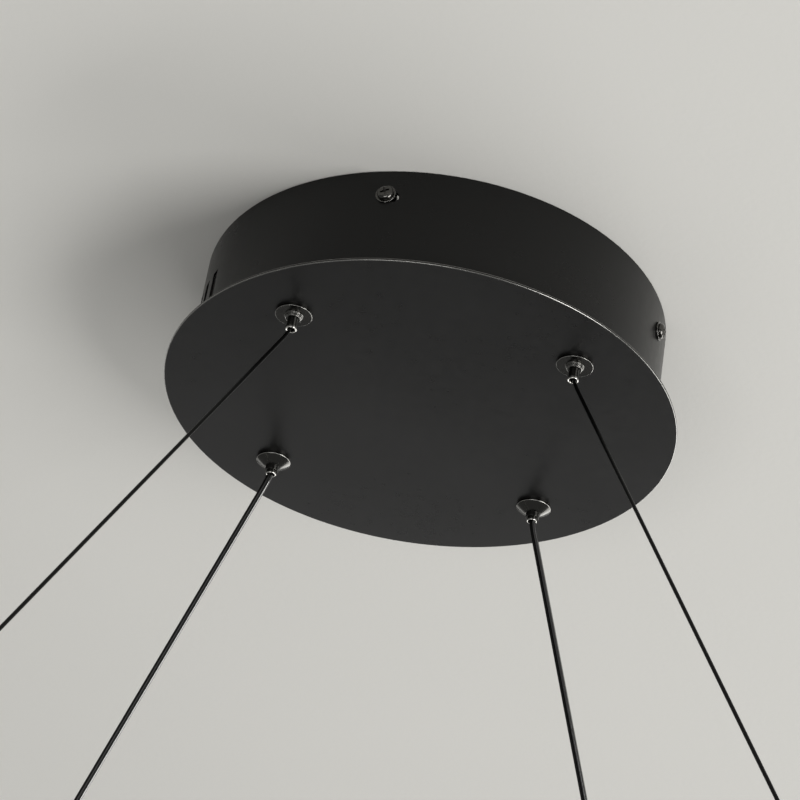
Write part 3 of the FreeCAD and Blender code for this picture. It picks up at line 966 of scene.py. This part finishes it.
@dataclass(frozen=True)
class CrossHead:
    """A screw's turned head with a cross recess that tapers.

    The recess is a cross, given by its reach and half width, at a level above the head and at its floor.
    """

    outline: Outline
    recess_top: Point
    recess_floor: Point
    top: float
    floor: float
    steps: int = 32

    def build(self) -> Shape:
        """The head, about its own axis."""
        ends = [(cross(*self.recess_top), self.top), (cross(*self.recess_floor), self.floor)]
        return Shape().lathe(self.outline, steps=self.steps).carve(Shape().loft(ends))


SIDE_HEAD = CrossHead(
    outline=(
        (0, 0.96),
        (4.1, 0.96),
        (4.25, 1.4),
        (4.15, 2.1),
        (3.75, 2.8),
        (3.0, 3.3),
        (1.9, 3.58),
        (0, 3.6),
    ),
    recess_top=(2.9, 0.6),
    recess_floor=(1.1, 0.35),
    top=4.2,
    floor=1.5,
    steps=64,
)
LID_HEAD = CrossHead(
    outline=((0, -1), (2.2, -1), (2.2, 0.3), (1.6, 0.75), (0, 0.85)),
    recess_top=(1.2, 0.22),
    recess_floor=(0.6, 0.15),
    top=1.0,
    floor=0.1,
)
ANCHOR_HEAD = CrossHead(
    outline=((0, -0.4), (2.2, -0.4), (2.2, 0.5), (1.5, 1.1), (0, 1.25)),
    recess_top=(1.25, 0.22),
    recess_floor=(0.6, 0.15),
    top=1.5,
    floor=0.3,
)


@dataclass
class Ceiling:
    """What stays on the ceiling: the bracket and the drum's four side screws."""

    first_screw: float = -22.0
    arm_angle: float = 94.6
    levels: tuple[float, ...] = (-17.6, -16.3, -16.3, -15.2)
    skin: float = 125.6
    recess_turn: float = 20.0
    washer: Outline = ((2.2, 0), (5.2, 0), (5.2, 0.95), (2.2, 0.95))
    crest: Point = (1.95, -1.6)
    root: Point = (1.6, -1.95)
    pitch: float = 0.7
    thread_turns: int = 14
    tip: Point = (1.2, -12.2)
    tab_face: float = 121.4
    tab_middle: float = -16.3
    tab_rise: float = 2.6
    tab_outline: Outline = ((7, -9.5), (7, 9.5), (-0.9, 9.5), (-2.1, 5), (-7, 5), (-7, -9.5))

    def build(self) -> None:
        """Makes the bracket, its raised tab faces, and the screws with their washers."""
        keep("ceiling_bracket", ZINC, 0.25)
        screws, washers = Shape(), Shape()
        turn = Matrix.Rotation(math.radians(self.recess_turn), 4, "Z")
        for azimuth, level in zip(self.azimuths(), self.levels):
            place = facing_out(azimuth, self.skin, 0, level)
            washers.lathe(self.washer, place, hollow=True)
            screws.add(SIDE_HEAD.build(), place @ turn)
            screws.lathe(self.shank(), place, steps=32)
        node = ("side_screws",)
        screws.piece("side_screws_plated", SCREW_STEEL, "bracket", edge=0.12, replaces=node)
        # The washers' rounded rims get pale steel, a painted highlight.
        washers.piece(
            "side_washers_plated", SCREW_STEEL, "bracket", edge=0.16, replaces=node, edge_highlight=STEEL_EDGE_HIGHLIGHT
        )
        self.tab_faces()

    def azimuths(self) -> list[float]:
        """Where the bracket's four tabs and their screws are, in degrees."""
        return [self.first_screw + step for step in (0, self.arm_angle, 180, 180 + self.arm_angle)]

    def shank(self) -> list[Point]:
        """Outline of a screw's shank and its thread.

        Returns:
            Radius and height of each point, in mm.
        """
        outline = [(0, 0.9), (2.0, 0.9), (2.0, -1.2)]
        for turn in range(self.thread_turns):
            outline += [(radius, level - self.pitch * turn) for radius, level in (self.crest, self.root)]
        return [*outline, self.tip, (0, self.tip[1])]

    def tab_faces(self) -> None:
        """The tabs' raised faces, which meet the drum's wall and show in its slots."""
        faces = Shape()
        for azimuth in self.azimuths():
            place = facing_out(azimuth, self.tab_face, 0, self.tab_middle)
            faces.loft([(self.tab_outline, 0), (self.tab_outline, self.tab_rise)], place)
        faces.piece("bracket_tab_faces", ZINC, "bracket", edge=0.2)


@dataclass
class Canopy:
    """The drum and its plate."""

    highlight_edge_width: float = 0.4

    def build(self) -> None:
        """Gives the drum and the plate their paint, with a painted highlight line of pale metal along the
        plate's rounded rim.
        """
        keep("canopy_drum", BLACK_PAINT, 0)
        # The plate's rounded rim gets pale metal, a painted highlight line.
        keep("canopy_plate", BLACK_PAINT, self.highlight_edge_width, EDGE_HIGHLIGHT_PAINT)


@dataclass
class CableGrips:
    """The four cable fittings with their grips and plungers.

    A mouth is given by the radius of its rolled lip, its own radius and its lowest level.
    """

    wire_mouth: tuple[float, float, float] = (0.4, 2.9, -75.4)
    lead_mouth: tuple[float, float, float] = (0.32, 2.8, -75.0)
    mouth_top: float = -74.1
    flange_outline: Outline = ((3.9, 0), (9.6, 0), (9.6, -1.5), (3.9, -1.5))
    step_outline: Outline = ((3.72, -1.4), (5.1, -1.4), (4.65, -1.8), (4.65, -2.35), (4.4, -2.6))
    thread_outline: Outline = (
        (4.0, -2.7),
        (4.15, -2.85),
        (4.15, -3.05),
        (3.85, -3.2),
        (3.95, -3.4),
        (3.9, -3.6),
        (3.72, -3.67),
    )
    cone_outline: Outline = ((3.8, 0), (9.55, 0), (9.55, -1.5), (4.4, -4.9), (3.8, -4.95))
    coil_radius: float = 3.05
    coil_wire: float = 0.3
    coil_turns: float = 2.5
    coil_low: float = -50.65
    coil_high: float = -44.35
    coil_points: int = 30
    spring_foot: float = -50.95
    spring_length: float = 6.9
    wire_travel: float = 2.5
    lead_travel: float = 1.0

    def build(self) -> None:
        """Makes every fitting."""
        for node in ("wire_gripper_bodies", "lead_gripper_bodies", "gripper_caps"):
            keep(node, BLACK_NICKEL, 0.2)
        for fitting in FITTINGS:
            keep(f"plunger_{fitting.number}", BLACK_NICKEL, 0.05)
            self.ring_end(fitting)
            self.spring(fitting)
            if fitting.passes_lead:
                self.turned("cone", fitting, self.cone_outline, 0.2, "lead_cones")
            else:
                self.turned("flange", fitting, self.flange_outline, 0.2, "flange_nuts")
                collar = [*self.step_outline, *self.thread_outline]
                self.turned("collar", fitting, collar, 0.07, "flange_nuts")

    def ring_end(self, fitting: Fitting) -> None:
        """The bright rolled mouth of a plunger.

        Args:
            fitting: The fitting that holds the plunger.
        """
        lip, edge, low = self.lead_mouth if fitting.passes_lead else self.wire_mouth
        turns = [math.radians(30 * k) for k in range(8)]
        bead = [(edge - lip + lip * math.cos(a), low + lip - lip * math.sin(a)) for a in turns]
        profile = [(edge, self.mouth_top), *bead, (edge - 2 * lip, self.mouth_top)]
        local = [(radius, height - PLATE_FOOT) for radius, height in profile]
        name = f"ring_end_{fitting.number}"
        body = f"plunger_{fitting.number}"
        place = standing(fitting.place(PLATE_FOOT))
        Shape().lathe(local, hollow=True).piece(name, BRIGHT_NICKEL, body, place, edge=0)

    def spring(self, fitting: Fitting) -> None:
        """The coil spring between a plunger and its cap.

        Args:
            fitting: The fitting that holds the plunger.
        """
        line = []
        for k in range(self.coil_points + 1):
            angle = 2 * math.pi * self.coil_turns * k / self.coil_points
            level = self.coil_low + (self.coil_high - self.coil_low) * k / self.coil_points
            outward = Vector((math.cos(angle), math.sin(angle), 0))
            line.append(fitting.place(level) + self.coil_radius * outward)
        coil = cable(f"spring_coil_{fitting.number}", [line], self.coil_wire, SPRING_STEEL)
        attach(coil, f"plunger_{fitting.number}")
        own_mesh(coil)
        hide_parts(f"plunger_spring_{fitting.number}")

    def turned(self, name: str, fitting: Fitting, outline: Outline, edge: float, node: str) -> None:
        """A turned part under the plate, with pale metal on its rounded edges as a painted highlight.

        Args:
            name: The piece's name, without the fitting's number.
            fitting: The fitting that it belongs to.
            outline: Radius and height of each point, in mm from the plate's underside.
            edge: Width of its rounded edges, in mm.
            node: The CAD node that it stands for.
        """
        shape = Shape().lathe(outline, hollow=True, steps=96)
        place = standing(fitting.place(PLATE_FOOT))
        name = f"{name}_{fitting.number}"
        shape.piece(name, BLACK_NICKEL, "canopy", place, edge, (node,), PALE_NICKEL_EDGE_HIGHLIGHT)


@dataclass
class Suspension:
    """The four wires and the two leads beside the far ones.

    A strand starts at `start` inside its plunger's mouth and bends at `bend`.
    """

    start: float = -73.2
    start_outward: float = 0.1
    bend: float = -78.0
    bend_outward: float = 1.5
    straight: float = 12.0
    parting: float = -700.0
    lead_end: float = -781.5
    fixed: float = -74.9
    rise: float = 250.0

    def build(self) -> None:
        """Lays every wire and lead."""
        for fitting in FITTINGS:
            self.wire(fitting)
            if fitting.passes_lead:
                self.lead(fitting)

    def slope(self, fitting: Fitting, aside: float, end: Vector) -> list[Vector]:
        """Out of the mouth along its outer side, round a short curve, and on towards the ring.

        Args:
            fitting: The fitting that the strand leaves.
            aside: Distance clockwise from the fitting's middle, in mm.
            end: Where the strand goes, in mm.

        Returns:
            The first three control points, in mm.
        """
        start = fitting.place(self.start, FITTING_RADIUS + self.start_outward, aside)
        turn = fitting.place(self.bend, FITTING_RADIUS + self.bend_outward, aside)
        return [start, turn, turn + (end - turn).normalized() * self.straight]

    def wire(self, fitting: Fitting) -> None:
        """One suspension wire.

        Args:
            fitting: The fitting that grips it.
        """
        aside = -PAIR_HALF if fitting.passes_lead else 0.0
        end = fitting.place(BARREL_LEVEL, ANCHOR_RADIUS)
        points = [*self.slope(fitting, aside, end), end]
        self.hang(f"suspension_wire_{fitting.number}", points, WIRE_COAT)

    def lead(self, fitting: Fitting) -> None:
        """One power lead, which runs beside its wire and turns aside above the ring.

        Args:
            fitting: The fitting that it passes.
        """
        fall = (self.parting - self.bend) / (BARREL_LEVEL - self.bend)
        outward = FITTING_RADIUS + (ANCHOR_RADIUS - FITTING_RADIUS) * fall
        part = fitting.place(self.parting, outward, PAIR_HALF * (1 + fall))
        over = fitting.place(BARREL_LEVEL, ANCHOR_RADIUS, LEAD_ASIDE)
        end = fitting.place(self.lead_end, ANCHOR_RADIUS, LEAD_ASIDE)
        points = [*self.slope(fitting, PAIR_HALF, part), part, over, end]
        self.hang(f"power_lead_{fitting.number}", points, LEAD_COAT)

    def hang(self, name: str, points: list[Vector], finish: Finish) -> None:
        """Lays one strand, which rides on the ring.

        Args:
            name: The CAD node that it stands for.
            points: Its control points, in mm.
            finish: Its finish.
        """
        strand = cable(name + "_coated", [points], STRAND_RADIUS, finish)
        foot = points[-1] * MM
        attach(strand, "ring")
        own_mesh(strand)
        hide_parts(name)


@dataclass
class Electrics:
    """The power supply, its terminal blocks and the wiring inside the canopy."""

    case_half: Point = (20, 75)
    gap_half: Point = (19.4, 74.4)
    case_foot: float = -62.5
    gap_foot: float = -42.0
    gap_top: float = -41.4
    case_top: float = -34.5
    lid_screw: Point = (15.5, 70)
    terminal_row: float = 101.0
    clamp_level: float = -48.5
    clamp_outline: Outline = ((0, -1), (2.6, -1), (2.6, 0.25), (0, 0.25))
    clamp_slot: Point = (3, 0.35)
    mains_clamps: tuple[float, ...] = (-10, 0, 10)
    output_clamps: tuple[float, ...] = (-5, 5)
    core_radius: float = 1.2
    core_spread: tuple[float, ...] = (-5, 5)
    core_path: Outline = ((74, -50), (80, -50), (85, -49), (90, -50), (96, -50))
    tail_levels: tuple[float, ...] = (-74.0, -60.0, -45.0, -33.0)
    inner_levels: tuple[float, ...] = (-74.0, -50.0, -30.0)
    inner_end: Point = (10.4, -51.5)

    def build(self) -> None:
        """Makes what is inside the canopy."""
        keep("driver_cradle", ZINC, 0.2)
        keep("mains_terminal", TERMINAL, 0.5)
        keep("output_terminal", TERMINAL, 0.5)
        self.driver()
        self.clamps()
        self.cores("mains_cores", -1)
        self.cores("output_cores", 1)
        self.tails()
        self.inner_lead(FITTINGS[2], -1)
        self.inner_lead(FITTINGS[3], 1)

    def driver(self) -> None:
        """The power supply's case: a trough, a shadow gap and a lid with four screws."""
        case = Shape().block(self.case_half, self.case_foot, self.gap_foot)
        case.block(self.gap_half, self.gap_foot, self.gap_top)
        case.block(self.case_half, self.gap_top, self.case_top)
        case.piece("driver_case_halves", DRIVER_CASE, "canopy", edge=0.8, replaces=("led_driver",))
        screws = Shape()
        across, along = self.lid_screw
        for x in (-across, across):
            for y in (-along, along):
                screws.add(LID_HEAD.build(), standing(Vector((x, y, self.case_top)), 20 * y))
        screws.piece("driver_lid_screws", SCREW_STEEL, "canopy", edge=0)

    def clamps(self) -> None:
        """Slotted clamp screws on the terminal blocks, each turned its own way."""
        clamps = Shape()
        for side, across in ((-1, self.mains_clamps), (1, self.output_clamps)):
            for x in across:
                place = standing(Vector((x, side * self.terminal_row, self.clamp_level)), 35 + 40 * x)
                head = Shape().lathe(self.clamp_outline, steps=32)
                clamps.add(head.carve(Shape().block(self.clamp_slot, -0.5, 1)), place)
        clamps.piece("terminal_clamp_screws", SCREW_STEEL, "canopy", edge=0)

    def cores(self, node: str, side: int) -> None:
        """Two short cores between a terminal block and the power supply.

        Args:
            node: The CAD node that they stand for.
            side: The end of the power supply, -1 or 1 along Y.
        """
        routes = [[Vector((x, side * y, level)) for y, level in self.core_path] for x in self.core_spread]
        made = cable(node + "_round", routes, self.core_radius, CORE_SHEATH)
        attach(made, "canopy")
        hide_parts(node)

    def tails(self) -> None:
        """The wires' upper ends, straight up through their grips."""
        routes = []
        for fitting in FITTINGS:
            aside = -PAIR_HALF if fitting.passes_lead else 0.0
            routes.append([fitting.place(level, aside=aside) for level in self.tail_levels])
        made = cable("wire_tails_coated", routes, HIDDEN_RADIUS, WIRE_COAT)
        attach(made, "canopy")
        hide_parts("wire_tails")

    def inner_lead(self, fitting: Fitting, side: int) -> None:
        """A lead's inner end, up through its grip and across to the output terminal.

        Args:
            fitting: The fitting that it passes.
            side: The side of the terminal block, -1 or 1 along X.
        """
        up = [fitting.place(level, aside=PAIR_HALF) for level in self.inner_levels]
        aside, level = self.inner_end
        end = Vector((side * aside, self.terminal_row, level))
        route = [*up, up[-1].lerp(end, 0.5), end]
        made = cable(f"inner_lead_{fitting.number}_coated", [route], HIDDEN_RADIUS, LEAD_COAT)
        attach(made, "canopy")
        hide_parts(f"inner_lead_{fitting.number}")


@dataclass
class Ring:
    """The ring: channel, opal cover, boards, anchors and grommets."""

    boards: int = 30
    chips: int = 6
    chip_pitch: float = 16.6
    chip_radius: float = 494.7
    chip_half: Point = (1.75, 1.4)
    chip_rise: float = 0.7
    middle: float = -798.0
    screw_level: float = -781.0
    screw_aside: float = 8.6
    barrel_outline: Outline = (
        (0, -4.3),
        (1.9, -4.3),
        (2.45, -3.8),
        (2.45, 3.8),
        (1.9, 4.3),
        (0, 4.3),
    )
    grommet_outline: Outline = (
        (1.0, -784.5),
        (2.9, -784.5),
        (2.9, -783),
        (4.4, -783),
        (4.4, -781.6),
        (2.2, -780.2),
        (1.0, -780),
    )

    def build(self) -> None:
        """Makes the ring."""
        for node in frame["nodes"]:
            if node.startswith("ring_channel"):
                keep(node, BLACK_PAINT, 0.2)
            if node.startswith("diffuser"):
                keep(node, OPAL, 0.25)
        keep("ring_joiners", ZINC, 0.2)
        keep("led_boards", BOARD, 0.1)
        # Pale nickel on the anchors' rounded edges is a painted highlight.
        keep("wire_anchors", BLACK_NICKEL, 0.3, PALE_NICKEL_EDGE_HIGHLIGHT)
        self.barrels()
        self.grommets()
        self.light_chips()
        self.anchor_screws()

    def barrels(self) -> None:
        """The wires' barrel ends, across the anchors."""
        barrels = Shape()
        across = Matrix.Rotation(math.radians(90), 4, "X")
        for fitting in FITTINGS:
            place = standing(fitting.place(BARREL_LEVEL, ANCHOR_RADIUS), fitting.azimuth) @ across
            barrels.lathe(self.barrel_outline, place, steps=48)
        barrels.piece("wire_barrels_turned", PALE_NICKEL_EDGE_HIGHLIGHT, "ring", edge=0, replaces=("wire_barrels",))

    def grommets(self) -> None:
        """Tapered grommets where the leads enter the ring."""
        grommets = Shape()
        for fitting in FITTINGS:
            if fitting.passes_lead:
                place = standing(fitting.place(0, ANCHOR_RADIUS, LEAD_ASIDE))
                grommets.lathe(self.grommet_outline, place, hollow=True, steps=40)
        grommets.piece("lead_grommets_soft", GROMMET, "ring", edge=0.2, replaces=("lead_grommets",))

    def light_chips(self) -> None:
        """The light-emitting chips on the boards."""
        chips = Shape()
        for board in range(self.boards):
            azimuth = 360 / self.boards * board
            for chip in range(self.chips):
                aside = (chip - (self.chips - 1) / 2) * self.chip_pitch
                place = facing_out(azimuth, self.chip_radius, aside, self.middle)
                chips.block(self.chip_half, -self.chip_rise, 0, place)
        chips.piece("led_chips", OPAL, "ring", edge=0)

    def anchor_screws(self) -> None:
        """Two low screws through each anchor's foot, each turned its own way."""
        screws = Shape()
        for fitting in FITTINGS:
            for aside in (-self.screw_aside, self.screw_aside):
                spot = fitting.place(self.screw_level, ANCHOR_RADIUS, aside)
                screws.add(ANCHOR_HEAD.build(), standing(spot, 30 + 7 * aside))
        screws.piece("anchor_screws", SCREW_STEEL, "ring", edge=0)


LAMPS = (
    SoftLight("near window", -33, 29, 5.0, (2.7, 3.16), 200),
    SoftLight("far window", 38, 21, 5.0, (6.2, 2.0), 165),
    SoftLight("lamp behind the camera", 255, 35, 5.0, (3.0, 1.2), 46),
    SoftLight("far wall", 89, 18, 5.0, (7.6, 1.26), 40),
)


def main() -> None:
    """Makes everything in order, and reports each piece."""
    logging.basicConfig(level=logging.INFO, format="%(name)s: %(message)s")
    jobs = [Eye(), Room(), *LAMPS, Suspension(), Ceiling(), Canopy(), CableGrips(), Electrics(), Ring()]
    for job in jobs:
        before = set(bpy.data.objects.keys())
        job.build()
        for piece in bpy.data.objects.keys():
            if piece not in before:
                LOG.info("%s made %s", type(job).__name__, piece)
    bpy.context.scene.view_settings.view_transform = "Standard"


if __name__ == "__main__":
    main()
